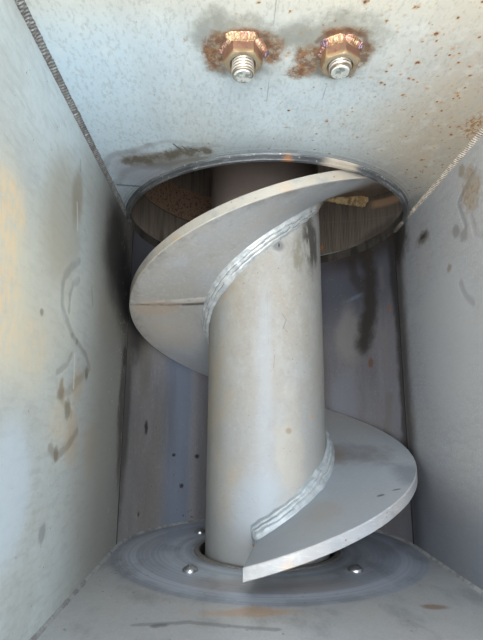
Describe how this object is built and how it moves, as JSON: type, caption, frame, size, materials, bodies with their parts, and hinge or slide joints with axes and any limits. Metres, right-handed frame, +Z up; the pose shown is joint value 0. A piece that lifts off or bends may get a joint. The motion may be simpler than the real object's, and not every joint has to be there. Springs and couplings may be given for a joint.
{
  "type": "screw press feed hopper with auger",
  "caption": "Open feed hopper of a dewatering screw press: U-shaped trough, turning auger, round opening into the first bay of the screen basket, and flange bearing.",
  "frame": {"origin": "centre of the footprint's box, on the floor under the feet", "axes": "+X across the hopper, +Y along the auger from the drive end to the screen basket, +Z up"},
  "size_m": [0.4, 0.839, 0.7],
  "materials": {
    "plate_stainless": "pickled stainless plate, matt, with stains and scratches",
    "trough_stainless": "stainless sheet worn and scuffed by the material it carries",
    "auger_steel": "matt stainless with ground edges and welds left as laid",
    "stained_steel": "stainless stained brown by process water",
    "bolt_steel": "bright bolt steel, rusty round the weld nuts",
    "bearing_iron": "painted cast iron, rough"
  },
  "bodies": {
    "housing": {"near_end_plate": "plate_stainless", "far_end_plate": "plate_stainless", "basket_end_plate": "plate_stainless", "inlet_collar": "plate_stainless", "left_wall": "plate_stainless", "right_wall": "plate_stainless", "trough": "trough_stainless", "rim_left": "plate_stainless", "rim_right": "plate_stainless", "rim_near": "plate_stainless", "rim_far": "plate_stainless", "foot_near_left": "plate_stainless", "foot_near_right": "plate_stainless", "foot_far_left": "plate_stainless", "foot_far_right": "plate_stainless", "foot_basket_left": "plate_stainless", "foot_basket_right": "plate_stainless", "weld_nut_left": "bolt_steel", "weld_nut_right": "bolt_steel", "bracket_bolt_left": "bolt_steel", "bracket_bolt_right": "bolt_steel", "cover_bracket": "plate_stainless", "gland_ring": "stained_steel", "flange_bearing": "bearing_iron", "flange_screw_1": "bolt_steel", "flange_screw_2": "bolt_steel", "flange_screw_3": "bolt_steel", "flange_screw_4": "bolt_steel", "basket_upper": "stained_steel", "basket_lower": "stained_steel", "basket_hoop_upper_1": "plate_stainless", "basket_hoop_upper_2": "plate_stainless", "basket_hoop_lower_1": "plate_stainless", "basket_hoop_lower_2": "plate_stainless", "tie_rod_1": "bolt_steel", "tie_rod_2": "bolt_steel", "tie_rod_3": "bolt_steel", "tie_rod_4": "bolt_steel"},
    "auger": {"auger_tube": "auger_steel", "drive_journal": "auger_steel", "journal_key": "bolt_steel", "auger_end_cap": "auger_steel", "auger_flight_1": "auger_steel", "auger_flight_2": "auger_steel", "auger_flight_3": "auger_steel"}
  },
  "joints": [
    {"name": "auger_spin", "type": "hinge", "parent": "housing", "child": "auger", "pos_m": [0, 0, 0.3], "axis": [0, 1, 0], "continuous": true}
  ]
}
